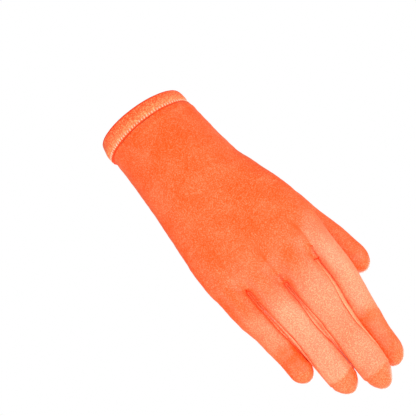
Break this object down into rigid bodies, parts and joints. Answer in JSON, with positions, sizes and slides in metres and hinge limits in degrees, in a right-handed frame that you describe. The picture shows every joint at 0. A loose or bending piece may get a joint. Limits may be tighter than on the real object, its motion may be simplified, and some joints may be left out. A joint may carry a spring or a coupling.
{
  "type": "wrist length dress glove",
  "caption": "Satin dress glove for the right hand, open at the wrist, with fingers, set-in thumb, strips between the fingers and a turned hem.",
  "frame": {"origin": "centre of the cuff's mouth, where the wrist goes in", "axes": "+Z out of the mouth along the forearm, fingers towards -Z, +X the thumb's side, -Y the back of the hand, +Y the palm"},
  "size_m": [0.0875, 0.0647, 0.2199],
  "materials": {
    "satin": "stretch satin, soft sheen",
    "satin_strip": "stretch satin, soft sheen",
    "satin_hem": "stretch satin turned double, stitched"
  },
  "bodies": {
    "root": {"back_panel": "satin", "palm_panel": "satin", "thumb": "satin", "fourchette_index_middle": "satin_strip", "fourchette_middle_ring": "satin_strip", "fourchette_ring_little": "satin_strip", "cuff_hem": "satin_hem"}
  },
  "joints": []
}
